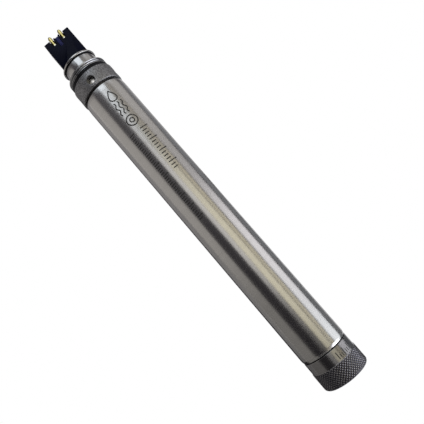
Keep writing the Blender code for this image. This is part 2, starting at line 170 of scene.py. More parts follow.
def turned_metal(name, colour, roughness, anisotropy, mottle=0.08, score_depth=2e-6):
    """Bare metal with the fine scores that a lathe leaves round it, which stretch light along Z."""
    made, tree, shader = new_material(name, colour, roughness, 1.0, Anisotropic=anisotropy)
    shader.inputs["Anisotropic Rotation"].default_value = 0.25
    tangent = add_node(tree, "ShaderNodeTangent", direction_type="RADIAL", axis="Z")
    tree.links.new(tangent.outputs[0], shader.inputs["Tangent"])
    scores = noise(tree, (60, 60, 2600))
    bands = noise(tree, (35, 35, 620), detail=2)
    clouds = noise(tree, (110, 110, 60), detail=3)
    blend = add_node(tree, "ShaderNodeMath", {0: scores, 1: bands}, operation="ADD").outputs[0]
    blend = add_node(tree, "ShaderNodeMath", {0: blend, 1: clouds}, operation="ADD").outputs[0]
    dark, light = tinted(colour, 1 - mottle), tinted(colour, 1 + mottle)
    paint = shades(tree, blend, dark, light, start=1.2, end=1.8)
    tree.links.new(paint, shader.inputs["Base Color"])
    gloss = between(tree, clouds, roughness - 0.015, roughness + 0.02)
    tree.links.new(gloss, shader.inputs["Roughness"])
    bumped(tree, shader, scores, score_depth)
    return made


def groove_shaded_metal(name, colour, roughness, crest_r, depth, groove_shade_colour, top=1.0):
    """Turned metal with painted shade in its grooves: the colour goes dark below the crest radius.
    The painted shade stops at the top height, which by default is above the whole probe."""
    anisotropy, mottle, score_depth = 0.4, 0.05, 4e-7
    blur, crest_width = 0.00005, 0.00001
    # the painted shade leaves this share of the metal's own colour at a groove's floor
    unshaded_share = 0.1  # of the metal that still shows at a groove's floor
    made = turned_metal(name, colour, roughness, anisotropy, mottle, score_depth)
    tree = made.node_tree
    shader = tree.nodes["Principled BSDF"]
    place = add_node(tree, "ShaderNodeTexCoord").outputs["Object"]
    flat = add_node(tree, "ShaderNodeVectorMath", {0: place, 1: (1, 1, 0)}, operation="MULTIPLY")
    length = add_node(tree, "ShaderNodeVectorMath", {0: flat.outputs[0]}, operation="LENGTH")
    height = add_node(tree, "ShaderNodeSeparateXYZ", {0: place}).outputs["Z"]
    below = between(tree, height, 1, 0, top - blur, top + blur)
    floor, land = crest_r - depth, crest_r - crest_width
    crest = between(tree, length.outputs["Value"], unshaded_share, 1, floor, land)
    # groove is the mask of the painted shade: dark in the grooves below the crest, under the top height
    groove = add_node(
        tree, "ShaderNodeMath", {0: below, 1: crest}, operation="SUBTRACT", use_clamp=True
    )
    paint = shader.inputs["Base Color"].links[0].from_socket
    mixed = add_node(tree, "ShaderNodeMix", data_type="RGBA", blend_type="MIX")
    tree.links.new(groove.outputs[0], mixed.inputs[0])
    tree.links.new(paint, mixed.inputs[6])
    mixed.inputs[7].default_value = (*groove_shade_colour, 1)
    tree.links.new(mixed.outputs[2], shader.inputs["Base Color"])
    return made


def blasted_metal(name, colour, roughness, grit):
    """Bead-blasted metal: fine even pits, slightly cloudy."""
    made, tree, shader = new_material(name, colour, roughness, 1.0)
    pits = noise(tree, (2900, 2900, 2900), detail=2, roughness=0.7)
    clouds = noise(tree, (420, 420, 420), detail=4)
    dark, light = tinted(colour, 0.5), tinted(colour, 1.5)
    paint = shades(tree, pits, dark, light, start=0.38, end=0.62)
    tree.links.new(paint, shader.inputs["Base Color"])
    gloss = between(tree, clouds, roughness - 0.05, roughness + 0.06)
    tree.links.new(gloss, shader.inputs["Roughness"])
    bumped(tree, shader, pits, grit)
    return made


def moulded(name, colour, roughness, grit=2e-6, scale=2600, **sockets):
    """Moulded polymer or rubber: an even colour with a faint skin."""
    made, tree, shader = new_material(name, colour, roughness, **sockets)
    skin = noise(tree, (scale, scale, scale))
    clouds = noise(tree, (300, 300, 300))
    paint = shades(tree, clouds, tinted(colour, 0.8), tinted(colour, 1.25))
    tree.links.new(paint, shader.inputs["Base Color"])
    gloss = between(tree, skin, roughness - 0.05, roughness + 0.07)
    tree.links.new(gloss, shader.inputs["Roughness"])
    bumped(tree, shader, skin, grit)
    return made


def circuit_laminate():
    """Green solder mask over copper tracks."""
    mask, track = (0.015, 0.10, 0.045), (0.04, 0.20, 0.08)
    made, tree, shader = new_material("board_laminate", mask, 0.35, Coat_Weight=0.4)
    place = add_node(tree, "ShaderNodeTexCoord").outputs["Object"]
    upright = {"Vector": place, "Angle": math.radians(90)}
    on_board = add_node(tree, "ShaderNodeVectorRotate", upright, rotation_type="X_AXIS")
    inputs = {
        "Vector": on_board.outputs[0],
        "Scale": 700.0,
        "Mortar Size": 0.06,
        "Brick Width": 2.4,
        "Row Height": 0.8,
    }
    tracks = add_node(tree, "ShaderNodeTexBrick", inputs).outputs["Fac"]
    paint = shades(tree, tracks, mask, track, start=0.2, end=0.8)
    tree.links.new(paint, shader.inputs["Base Color"])
    bumped(tree, shader, tracks, depth=0.00003)
    return made


def clear(name, colour, roughness=0.03, ior=1.5):
    """Glass or clear resin, with a slight haze."""
    made, tree, shader = new_material(name, colour, roughness, IOR=ior)
    shader.inputs["Transmission Weight"].default_value = 0.9
    haze = noise(tree, (900, 900, 900))
    tree.links.new(between(tree, haze, roughness, roughness + 0.05), shader.inputs["Roughness"])
    return made


MATERIALS = {
    "titanium": turned_metal(
        "satin_titanium", (0.395, 0.384, 0.37), 0.26, anisotropy=0.5, mottle=0.03, score_depth=8e-8
    ),
    "bright_titanium": turned_metal(
        "bright_titanium", (0.35, 0.343, 0.335), 0.19, anisotropy=0.4, mottle=0.03, score_depth=1e-7
    ),
    # the cap's knurl grooves get painted shade
    "cap_titanium": groove_shaded_metal(
        "cap_titanium", (0.20, 0.194, 0.192), 0.24,
        crest_r=CAP_R, depth=0.00009, groove_shade_colour=(0.026, 0.025, 0.034), top=BAND_BASE,
    ),
    # near-white metal for the bulkhead's waist: a painted highlight that shows through the nut's holes
    "polished_titanium": turned_metal(
        "polished_titanium", (0.90, 0.90, 0.89), 0.30, anisotropy=0.0, mottle=0.0, score_depth=1e-7
    ),
    # the nut thread's grooves get painted shade
    "thread_titanium": groove_shaded_metal(
        "thread_titanium", (0.31, 0.305, 0.305), 0.26,
        crest_r=NUT_THREAD_R, depth=NUT_THREAD_DEPTH, groove_shade_colour=(0.05, 0.05, 0.06),
    ),
    "blasted": blasted_metal("blasted_titanium", (0.19, 0.187, 0.19), 0.5, grit=1.6e-5),
    "black_polymer": moulded(
        "navy_black_polymer", (0.0008, 0.0014, 0.0085), 0.34, Specular_IOR_Level=0.05
    ),
    "navy_polymer": moulded("navy_polymer", (0.009, 0.011, 0.080), 0.45, Specular_IOR_Level=0.15),
    "rubber": moulded(
        "black_rubber", (0.0015, 0.0015, 0.003), 0.45, grit=4e-6, scale=5000, Specular_IOR_Level=0.12
    ),
    "gold": turned_metal(
        "gold_plate", (0.62, 0.52, 0.20), 0.30, anisotropy=0.0, mottle=0.08, score_depth=2e-7
    ),
    "tinned_copper": turned_metal("tinned_copper", (0.66, 0.62, 0.48), 0.3, anisotropy=0.0),
    "etched": moulded(
        "etched_oxide", (0.022, 0.021, 0.019), 0.5, grit=3e-6, scale=7000, Metallic=0.3
    ),
    "acetal": moulded("acetal", (0.72, 0.71, 0.67), 0.45, Subsurface_Weight=0.05),
    "board_green": circuit_laminate(),
    "chip_black": moulded("chip_epoxy", (0.018, 0.018, 0.019), 0.5),
    "amber_film": moulded("amber_film", (0.50, 0.24, 0.05), 0.3, Coat_Weight=0.3),
    "clear_glass": clear("clear_glass", (0.93, 0.96, 0.97)),
    "blue_lens": clear("blue_lens", (0.10, 0.22, 0.90), roughness=0.05, ior=1.53),
    "red_lens": clear("red_lens", (0.85, 0.06, 0.04), roughness=0.05, ior=1.53),
    "filter_glass": clear("filter_glass", (0.45, 0.03, 0.03)),
    "foil_black": moulded(
        "sensing_foil_coat", (0.012, 0.010, 0.013), 0.62, grit=5e-6, scale=9000
    ),
}


# ---- shapes ----------------------------------------------------------------------------------


def arc_between(start, end, middle, radius, points):
    first = math.atan2(start.y - middle.y, start.x - middle.x)
    sweep = math.atan2(end.y - middle.y, end.x - middle.x) - first
    sweep = (sweep + math.pi) % (2 * math.pi) - math.pi
    turns = [first + sweep * i / points for i in range(points + 1)]
    return [(middle.x + radius * math.cos(t), middle.y + radius * math.sin(t)) for t in turns]


def rounded(outline, points=4):
    """The outline with each corner that has a third number drawn as an arc of that radius."""
    drawn = []
    for i, (x, y, *fillet) in enumerate(outline):
        here = Vector((x, y))
        if not fillet:
            drawn.append((x, y))
            continue
        before = (Vector(outline[i - 1][:2]) - here).normalized()
        after = (Vector(outline[(i + 1) % len(outline)][:2]) - here).normalized()
        half = before.angle(after) / 2
        reach = fillet[0] / math.tan(half)
        middle = here + (before + after).normalized() * fillet[0] / math.sin(half)
        drawn += arc_between(here + before * reach, here + after * reach, middle, fillet[0], points)
    return drawn


def rows(radius, top, base, pitch):
    """Evenly spaced points down a straight side, for a surface that is cut into it."""
    count = round((top - base) / pitch)
    return [(radius, top + (base - top) * i / count) for i in range(count + 1)]


def shade(mesh):
    mesh.shade_smooth()
    mesh.set_sharp_from_angle(angle=SHARP_ANGLE)


def object_from(shape, name):
    """Makes an object of a bmesh, and frees the bmesh."""
    mesh = bpy.data.meshes.new(name)
    bmesh.ops.recalc_face_normals(shape, faces=shape.faces)
    shape.to_mesh(mesh)
    shape.free()
    made = bpy.data.objects.new(name, mesh)
    bpy.context.scene.collection.objects.link(made)
    return made


def piece_from(shape, name, material, body, replaced=()):
    """Makes a finished piece of a bmesh: shaded, given its material and body, with the CAD nodes that it
    replaces hidden.
    """
    piece = object_from(shape, name)
    piece.data.materials.append(MATERIALS[material])
    shade(piece.data)
    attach(piece, body)
    if replaced:
        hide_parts(*replaced)
    return piece


def repaint(piece, material, is_painted):
    """Gives a second material to the faces whose middles pass is_painted."""
    piece.data.materials.append(MATERIALS[material])
    for face in piece.data.polygons:
        if is_painted(face.center):
            face.material_index = 1


def lathe(shape, outline, steps=STEPS, place=(0, 0), surface=None):
    """Turns an outline about the upright axis at place. surface(turn, radius, height) gives a
    point's real radius, for threads and knurls."""
    rings = []
    for radius, height in outline:
        ring = []
        for i in range(steps):
            turn = 2 * math.pi * i / steps
            reach = surface(turn, radius, height) if surface else radius
            point = (place[0] + reach * math.cos(turn), place[1] + reach * math.sin(turn), height)
            ring.append(shape.verts.new(point))
        rings.append(ring)
    solid = outline[0][0] == 0
    lowers = rings[1:] if solid else rings[1:] + rings[:1]
    for upper, lower in zip(rings, lowers):
        for i in range(steps):
            j = (i + 1) % steps
            shape.faces.new((upper[i], lower[i], lower[j], upper[j]))
    bmesh.ops.remove_doubles(shape, verts=shape.verts, dist=1e-8)
    return shape


def turned(name, outline, material, body, replaced=(), steps=STEPS, place=(0, 0), surface=None):
    """A lathe-turned piece."""
    shape = lathe(bmesh.new(), rounded(outline), steps, place, surface)
    return piece_from(shape, name, material, body, replaced)


def add_box(shape, low, high, bevel=0.0, segments=2):
    """Adds a box with broken edges to a bmesh."""
    made = bmesh.ops.create_cube(shape, size=1)["verts"]
    size = [b - a for a, b in zip(low, high)]
    bmesh.ops.scale(shape, vec=size, verts=made)
    bmesh.ops.translate(shape, vec=[(a + b) / 2 for a, b in zip(low, high)], verts=made)
    if bevel:
        edges = list({edge for vert in made for edge in vert.link_edges})
        bmesh.ops.bevel(
            shape, geom=edges, offset=bevel, segments=segments, affect="EDGES", profile=0.5
        )


def combine(piece, shapes, operation):
    """Cuts the shapes out of a piece, or joins them to it, and applies the result."""
    helpers = []
    for number, shape in enumerate(shapes):
        helper = object_from(shape, f"{piece.name}_{operation.lower()}_{number}")
        helpers.append(helper)
        boolean = piece.modifiers.new(helper.name, "BOOLEAN")
        boolean.operation = operation
        boolean.solver = "EXACT"
        boolean.object = helper
    bpy.context.view_layer.update()
    seen = piece.evaluated_get(bpy.context.evaluated_depsgraph_get())
    mesh = bpy.data.meshes.new_from_object(seen)
    piece.modifiers.clear()
    piece.data = mesh
    shade(mesh)
    for helper in helpers:
        bpy.data.objects.remove(helper)


def cut(piece, shapes):
    combine(piece, shapes, "DIFFERENCE")


def unite(piece, shapes):
    combine(piece, shapes, "UNION")


def turn_and_move(shape, direction, place):
    """Lays a bmesh that was turned about Z along direction, with its middle at place."""
    turn = Vector((0, 0, 1)).rotation_difference(Vector(direction)).to_matrix()
    bmesh.ops.rotate(shape, cent=(0, 0, 0), matrix=turn, verts=shape.verts)
    bmesh.ops.translate(shape, vec=place, verts=shape.verts)


def rod_shape(radius, middle, length, direction, sides, flare=0.0):
    """A round cutter along direction. flare widens both its ends, which chamfers a hole's mouths."""
    shape = bmesh.new()
    half = length / 2
    outline = [(0, half), (radius + flare, half), (radius + flare, half - flare)]
    if flare:
        outline += [(radius, half - 2 * flare), (radius, 2 * flare - half)]
        outline += [(radius + flare, flare - half)]
    outline += [(radius + flare, -half), (0, -half)]
    lathe(shape, outline, sides)
    turn_and_move(shape, direction, middle)
    return shape


def thread_surface(crest, depth, pitch, top, base):
    """A right-hand thread cut into the side at the crest radius, running out at both ends."""

    def surface(turn, radius, height):
        if abs(radius - crest) > SAME or not base < height < top:
            return radius
        phase = (height / pitch - turn / (2 * math.pi)) % 1
        flank = 0.5 - 0.5 * math.cos(2 * math.pi * phase)
        run_out = min(1.0, (top - height) / (0.5 * pitch), (height - base) / (0.5 * pitch))
        return radius - depth * flank * run_out

    return surface


# ---- seals -----------------------------------------------------------------------------------


SEALS = {  # piece: the CAD ring that it stands for
    "port_seal": "port_o_ring",
    "bulkhead_seal_front": "bulkhead_o_ring_front",
    "bulkhead_seal_rear": "bulkhead_o_ring_rear",
    "nose_seal": "nose_o_ring",
    "cap_seal": "cap_o_ring",
    "window_ring": "window_seal",
}


def make_seals():
    """Round-section rings that fill their CAD rings' boxes."""
    for name, node in SEALS.items():
        low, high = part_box(node)
        middle, section = (low.z + high.z) / 2, (high.z - low.z) / 2
        centre = high.x - section
        turns = [2 * math.pi * i / SECTION_STEPS for i in range(SECTION_STEPS)]
        outline = [(centre + section * math.cos(t), middle - section * math.sin(t)) for t in turns]
        turned(name, outline, "rubber", "probe_body", (node,))


def make_nut_ring():
    """The flat black band behind the nut's thread. Its top part, over the thread's run-out, is
    painted shade: black put where the nut's groove lies in shadow.
    """
    # the top reaches past the ring up over the thread's run-out, as painted shade
    outer_r, inner_r, top, base = outer_radius("nut_o_ring"), 0.00715, -0.00755, -0.00895
    corner = 0.0003
    outline = [(outer_r, top, corner), (outer_r, base, corner), (inner_r, base), (inner_r, top)]
    turned("nut_band", outline, "rubber", "nut_body", ("nut_o_ring",))


def make_gaskets():
    """The dark ring in the seam over the cap, and the washer that the nut turns against."""
    low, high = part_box("seam_gasket")
    bore_r, corner = 0.0069, 0.00006
    outline = [(high.x, high.z, corner), (high.x, low.z, corner), (bore_r, low.z), (bore_r, high.z)]
    turned("seam_ring", outline, "rubber", "cap_carrier", ("seam_gasket",))
    low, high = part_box("slip_washer")
    bore_r = 0.00605
    outline = [(high.x, high.z), (high.x, low.z), (bore_r, low.z), (bore_r, high.z)]
    outline = [(*corner, EDGE) for corner in outline]
    turned("thrust_washer", outline, "acetal", "nut_carrier", ("slip_washer",))


# ---- bulkhead and connector ------------------------------------------------------------------


def make_bulkhead():
    """The plug in the tube's top, with the rim, the neck for the nut and a waist, which shows through
    the nut's holes. The waist is coloured near-white as a painted highlight."""
    rim_r, groove_r, neck_r, spigot_r, bore_r = 0.00695, 0.0061, 0.0064, 0.0059, 0.0051
    rim_base, groove_base, neck_base = -0.00085, -0.00135, -0.0066
    waist_r, waist_top, waist_base = 0.0054, -0.0129, -0.0137
    upper_cone_top, lower_cone_base = -0.0106, -0.0145
    plug_top, plug_base = TUBE_TOP - 0.0003, base_of("bulkhead")
    seal_groove_r, seal_play = 0.0062, 0.00015
    grooves = []
    for node in ("bulkhead_o_ring_front", "bulkhead_o_ring_rear"):
        top, base = top_of(node) + seal_play, base_of(node) - seal_play
        grooves += [(PLUG_R, top, EDGE), (seal_groove_r, top)]
        grooves += [(seal_groove_r, base), (PLUG_R, base, EDGE)]
    outline = [
        (rim_r, 0, 0.00038),
        (rim_r, rim_base, 0.00025),
        (groove_r, rim_base),
        (groove_r, groove_base),
        (neck_r, groove_base, EDGE),
        (neck_r, neck_base, EDGE),
        (spigot_r, neck_base),
        (spigot_r, upper_cone_top),
        (waist_r, waist_top, 0.0002),
        (waist_r, waist_base, 0.0003),
        (spigot_r, lower_cone_base),
        (spigot_r, plug_top),
        (PLUG_R, plug_top, EDGE),
        *grooves,
        (PLUG_R, plug_base, 0.0002),
        (bore_r, plug_base),
        (bore_r, 0, EDGE),
    ]

    def is_waist(at):
        return lower_cone_base < at.z < upper_cone_top and bore_r + SKIN < at.xy.length < spigot_r

    plug = turned("bulkhead_turning", outline, "bright_titanium", "probe_body", ("bulkhead",))
    # the waist's faces get the painted highlight colour
    repaint(plug, "polished_titanium", is_waist)


def block_corners():
    """The connector head's box. The node's own box also holds the wider round spigot behind it."""
    low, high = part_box("connector_block")
    half_depth, base = 0.0040, 0.0003
    return Vector((low.x, -half_depth, base)), Vector((high.x, half_depth, high.z))


def slot_shape(x, y, high):
    """The open slot that bares a pin's base, from the pin out through the block's side."""
    half_width, length = 0.00085, 0.00275
    near, far = sorted((y, math.copysign(high.y + PAST, y)))
    shape = bmesh.new()
    add_box(shape, (x - half_width, near, high.z - length), (x + half_width, far, high.z + PAST))
    return shape


KEYWAY_DEPTH = 0.0007


def keyway_shape(low, high):
    half_width, length = 0.00075, 0.0046
    shape = bmesh.new()
    corner = (-half_width, low.y - PAST, high.z - length)
    add_box(shape, corner, (half_width, low.y + KEYWAY_DEPTH, high.z + PAST))
    return shape


def make_connector_block():
    """The moulded head on its round spigot, with the pins' bores and slots, and the keyway."""
    low, high = block_corners()
    spigot_r, spigot_top, spigot_base = 0.0049, 0.0012, base_of("connector_block")
    pin_play, bore_length = 0.0001, 4 * high.z
    shape = bmesh.new()
    add_box(shape, low, high, bevel=0.00018, segments=3)
    block = piece_from(
        shape, "connector_moulding", "black_polymer", "probe_body", ("connector_block",)
    )
    spigot = [(0, spigot_top), (spigot_r, spigot_top), (spigot_r, spigot_base, 0.0002), (0, spigot_base)]
    unite(block, [lathe(bmesh.new(), rounded(spigot), DISC_STEPS)])
    cutters = []
    for number in CONTACTS:
        pin_low, pin_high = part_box(f"contact_pin_{number}")
        x, y = (pin_low.x + pin_high.x) / 2, (pin_low.y + pin_high.y) / 2
        bore_r = (pin_high.x - pin_low.x) / 2 + pin_play
        cutters.append(rod_shape(bore_r, (x, y, 0), bore_length, (0, 0, 1), BORE_STEPS))
        cutters.append(slot_shape(x, y, high))
    cutters.append(keyway_shape(low, high))
    cut(block, cutters)


def make_keyway_liner():
    """A navy key strip on the floor of the keyway."""
    low, high = block_corners()
    half_width, length, top_gap, sunk = 0.00068, 0.0044, 0.0002, 0.0001
    near, far = low.y + KEYWAY_DEPTH / 2, low.y + KEYWAY_DEPTH + sunk
    shape = bmesh.new()
    corner = (-half_width, near, high.z - length)
    add_box(shape, corner, (half_width, far, high.z - top_gap), EDGE)
    piece_from(shape, "keyway_liner", "navy_polymer", "probe_body")


def make_pins():
    """Gold pins with a solder cup behind, each in a tinned seat on its slot's floor."""
    seat_top, seat_base, seat_wall = 0.0102, 0.0095, 0.00022
    tip_share, tip_length = 0.55, 0.0006
    cup_share, cup_depth, cup_cone = 0.62, 0.0016, 0.0003
    for number in CONTACTS:
        node = f"contact_pin_{number}"
        low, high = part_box(node)
        middle, radius = ((low.x + high.x) / 2, (low.y + high.y) / 2), (high.x - low.x) / 2
        cup_r, cup_base = radius * cup_share, low.z + cup_depth
        outline = [
            (0, high.z),
            (radius * tip_share, high.z, EDGE),
            (radius, high.z - tip_length, 0.0004),
            (radius, low.z, 0.0001),
            (cup_r, low.z, 0.00005),
            (cup_r, cup_base),
            (0, cup_base + cup_cone),
        ]
        turned(f"pin_{number}", outline, "gold", "probe_body", (node,), SMALL_STEPS, middle)
        seat_r = radius + seat_wall
        seat = [(seat_r, seat_top, 0.00012), (seat_r, seat_base), (radius, seat_base), (radius, seat_top)]
        turned(
            f"pin_seat_{number}", seat, "tinned_copper", "probe_body",
            steps=SMALL_STEPS, place=middle,
        )


# ---- locking nut -----------------------------------------------------------------------------


def make_nut():
    """The captive nut: a threaded nose, a groove for its ring and a blasted grip with two holes
    bored right across it for a spanner."""
    groove_r, shoulder, groove_top = 0.0070, -0.0090, -0.0075
    bore_r, counterbore_r, counterbore_base = 0.0061, 0.0068, -0.0078
    pitch, thread_top, nose_chamfer = 0.0008, NUT_TOP - 0.0002, 0.00035
    hole_r, hole_height, hole_turns, hole_chamfer = 0.0016, -0.0126, (-96, -6), 0.0001
    outline = [
        (NUT_THREAD_R - nose_chamfer, NUT_TOP, EDGE),
        *rows(NUT_THREAD_R, thread_top, groove_top, pitch / THREAD_ROWS),
        (groove_r, groove_top),
        (groove_r, shoulder),
        (NUT_R, shoulder, 0.00022),
        (NUT_R, NUT_BASE, 0.0004),
        (bore_r, NUT_BASE, EDGE),
        (bore_r, counterbore_base, EDGE),
        (counterbore_r, counterbore_base),
        (counterbore_r, NUT_TOP, EDGE),
    ]
    surface = thread_surface(NUT_THREAD_R, NUT_THREAD_DEPTH, pitch, thread_top, groove_top)
    nut = turned(
        "nut_turning", outline, "blasted", "nut_body", ("locking_nut",),
        FINE_STEPS, surface=surface,
    )
    holes = []
    for turn in map(math.radians, hole_turns):
        across = (math.cos(turn), math.sin(turn), 0)
        length = 2 * NUT_R + 4 * hole_chamfer
        middle = (0, 0, hole_height)
        holes.append(rod_shape(hole_r, middle, length, across, SPANNER_STEPS, hole_chamfer))
    cut(nut, holes)

    def is_thread(at):
        return at.z > groove_top - SKIN and at.xy.length > counterbore_r

    repaint(nut, "thread_titanium", is_thread)


# ---- tube and its marks ----------------------------------------------------------------------


def make_tube():
    chamfer, chamfer_height = 0.0002, 0.0009
    shoulder_drop, shoulder_height = 0.0001, 0.0022
    outline = [
        (TUBE_R - shoulder_drop, TUBE_TOP, 0.0003),
        (TUBE_R, TUBE_TOP - shoulder_height, 0.004),
        (TUBE_R, TUBE_BASE + chamfer_height, 0.0006),
        (TUBE_R - chamfer, TUBE_BASE, EDGE / 2),
        (TUBE_BORE_R, TUBE_BASE, EDGE),
        (TUBE_BORE_R, TUBE_TOP, EDGE),
    ]
    turned("tube_shell", outline, "titanium", "probe_body", ("tube_housing",), SMOOTH_STEPS)


def wrapped(across, height, radius):
    """A point on a round side: across is the arc from the keyed side's middle towards +X."""
    turn = across / radius
    return (radius * math.sin(turn), -radius * math.cos(turn), height)


def add_stroke(shape, points, width, radius, closed=False):
    """Adds one etched line, a thin closed ribbon on a round side, through (across, height) points."""
    proud, sunk = 0.000008, 0.00002
    outer, inner = radius + proud, radius - sunk
    flat = [Vector(point) for point in points]
    sections = []
    for i, here in enumerate(flat):
        last = flat[i - 1] if i or closed else here
        following = flat[(i + 1) % len(flat)] if i + 1 < len(flat) or closed else here
        along = (following - last).normalized()
        side = Vector((-along.y, along.x)) * width / 2
        corners = ((here + side, outer), (here - side, outer), (here - side, inner), (here + side, inner))
        sections.append([shape.verts.new(wrapped(at.x, at.y, r)) for at, r in corners])
    nexts = sections[1:] + sections[:1] if closed else sections[1:]
    for one, other in zip(sections, nexts):
        for i in range(4):
            j = (i + 1) % 4
            shape.faces.new((one[i], one[j], other[j], other[i]))
    if not closed:
        shape.faces.new(sections[0])
        shape.faces.new(sections[-1][::-1])


def drop_points(across, height, size, count=40):
    """A water drop that points along the axis, towards the connector."""
    half_width, half_length, taper = 0.46, 0.5, 1.4  # the first two as shares of the size
    points = []
    for number in range(count):
        turn = 2 * math.pi * number / count
        swell = math.sin(turn / 2) ** taper
        sideways = size * half_width * math.sin(turn) * swell
        points.append((across + sideways, height + size * half_length * math.cos(turn)))
    return points


def wave_points(across, top, base, swing, waves, steps_each=12):
    """A line down the tube that swings to both sides."""
    count = steps_each * waves
    return [
        (across + swing * math.sin(2 * math.pi * waves * i / count), top + (base - top) * i / count)
        for i in range(count + 1)
    ]


def circle_points(across, height, radius, count=32):
    turns = [2 * math.pi * i / count for i in range(count)]
    return [(across + radius * math.cos(t), height + radius * math.sin(t)) for t in turns]


def add_scale(shape, across, pitch, count, major, short, tall, width):
    """A plain scale down the tube: short lines across the axis, every major-th one tall."""
    top, longest_step = -0.0380, 0.0003
    for number in range(count):
        height = top - pitch * number
        reach = short if number % major else tall
        steps = math.ceil(reach / longest_step)
        points = [(across + reach * i / steps, height) for i in range(steps + 1)]
        add_stroke(shape, points, width, TUBE_R)


def make_body_marks():
    """Generic laser marks: a drop, water waves and a ring in a row, then two plain scales."""
    line, middle = 0.00044, 0.0009
    drop_height, drop_size = -0.0222, 0.0044
    wave_top, wave_base, wave_gap, wave_swing = -0.0251, -0.0307, 0.0014, 0.00035
    ring_height, ring_radii = -0.0338, (0.0020, 0.0008)
    shape = bmesh.new()
    add_stroke(shape, drop_points(middle, drop_height, drop_size), line, TUBE_R, closed=True)
    for step in (-1, 0, 1):
        across = middle + step * wave_gap
        points = wave_points(across, wave_top, wave_base, wave_swing, waves=2)
        add_stroke(shape, points, line, TUBE_R)
    for radius in ring_radii:
        add_stroke(shape, circle_points(middle, ring_height, radius), line, TUBE_R, closed=True)
    add_scale(
        shape, across=0.0010, pitch=0.0013, count=15, major=4, short=0.0018, tall=0.0031, width=0.0004
    )
    add_scale(
        shape, across=-0.0038, pitch=0.0009, count=42, major=5, short=0.0014, tall=0.0022, width=0.00034
    )
    piece_from(shape, "tube_marks", "etched", "probe_body")


# ---- cap -------------------------------------------------------------------------------------


def knurl_surface(radius_at, base):
    """Diamonds cut into the cap's side between two families of crossed grooves."""
    count, pitch, depth, groove_share = 52, 0.001, 0.00018, 0.74
    top_run_out, base_run_out = 0.0002, 0.0004

    def surface(turn, radius, height):
        if abs(radius - radius_at(height)) > SAME or not base <= height <= BAND_BASE:
            return radius
        across = turn * count / (2 * math.pi)
        along = (height - BAND_BASE) / pitch
        grooves = [abs((value + 0.5) % 1 - 0.5) * 2 for value in (across + along, across - along)]
        flank = max(0.0, 1 - min(grooves) / groove_share)
        run_out = min(1.0, (BAND_BASE - height) / top_run_out, (height - base) / base_run_out)
        return radius - depth * flank * max(0.0, run_out)

    return surface


def make_cap():
    """The screwed cap: a plain band, a knurl that rounds in at its end, and the disc's seat."""
    end_r, bore_r, seat_r, opening_r = 0.00745, 0.00695, 0.0057, 0.0049
    floor, ledge, corner = -0.1396, -0.1417, 0.0009
    row_pitch, plain_end = 0.00009, 0.00012
    corner_top = CAP_BASE + corner

    def radius_at(height):
        if height >= corner_top:
            return CAP_R
        share = min(1.0, (corner_top - height) / corner)
        return end_r + (CAP_R - end_r) * math.sqrt(max(0.0, 1 - share**2))

    side = [(radius_at(height), height) for _, height in rows(CAP_R, BAND_BASE, CAP_BASE, row_pitch)]
    outline = [
        (BAND_R, CAP_TOP, 0.00015),
        (BAND_R, BAND_BASE, 0.0001),
        *side,
        (opening_r, CAP_BASE, 0.00012),
        (opening_r, ledge),
        (seat_r, ledge),
        (seat_r, floor),
        (bore_r, floor),
        (bore_r, CAP_TOP, EDGE),
    ]
    surface = knurl_surface(radius_at, CAP_BASE + plain_end)
    turned(
        "cap_turning", outline, "cap_titanium", "cap_body", ("cap_shell",),
        KNURL_STEPS, surface=surface,
    )


def make_cap_marks():
    """A short plain index on the cap's smooth band."""
    base, first, pitch, count = BAND_BASE + 0.0005, 0.0012, 0.00085, 8
    short, tall, width, major = 0.0013, 0.0024, 0.00032, 3
    shape = bmesh.new()
    for number in range(count):
        across = first + pitch * number
        reach = short if number % major else tall
        add_stroke(shape, [(across, base), (across, base + reach)], width, BAND_R)
    piece_from(shape, "cap_marks", "etched", "cap_body")


def make_sensing_face():
    """The clear disc in the cap's end, and the black foil that coats it, thinner at its middle."""
    low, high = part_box("sensing_disc")
    outline = [(0, high.z), (high.x, high.z, 0.0001), (high.x, low.z, 0.0001), (0, low.z)]
    turned("disc_glass", outline, "clear_glass", "cap_body", ("sensing_disc",), DISC_STEPS)
    low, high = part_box("sensing_foil")
    rim_share, dish_share, dish_depth = 0.86, 0.8, 0.00004
    outline = [
        (0, high.z),
        (high.x, high.z),
        (high.x, low.z, EDGE),
        (high.x * rim_share, low.z, 0.0003),
        (high.x * dish_share, low.z + dish_depth, 0.0003),
        (0, low.z + dish_depth),
    ]
    turned("foil_coat", outline, "foil_black", "cap_body", ("sensing_foil",), DISC_STEPS)


# ---- the sensing end inside the cap ----------------------------------------------------------


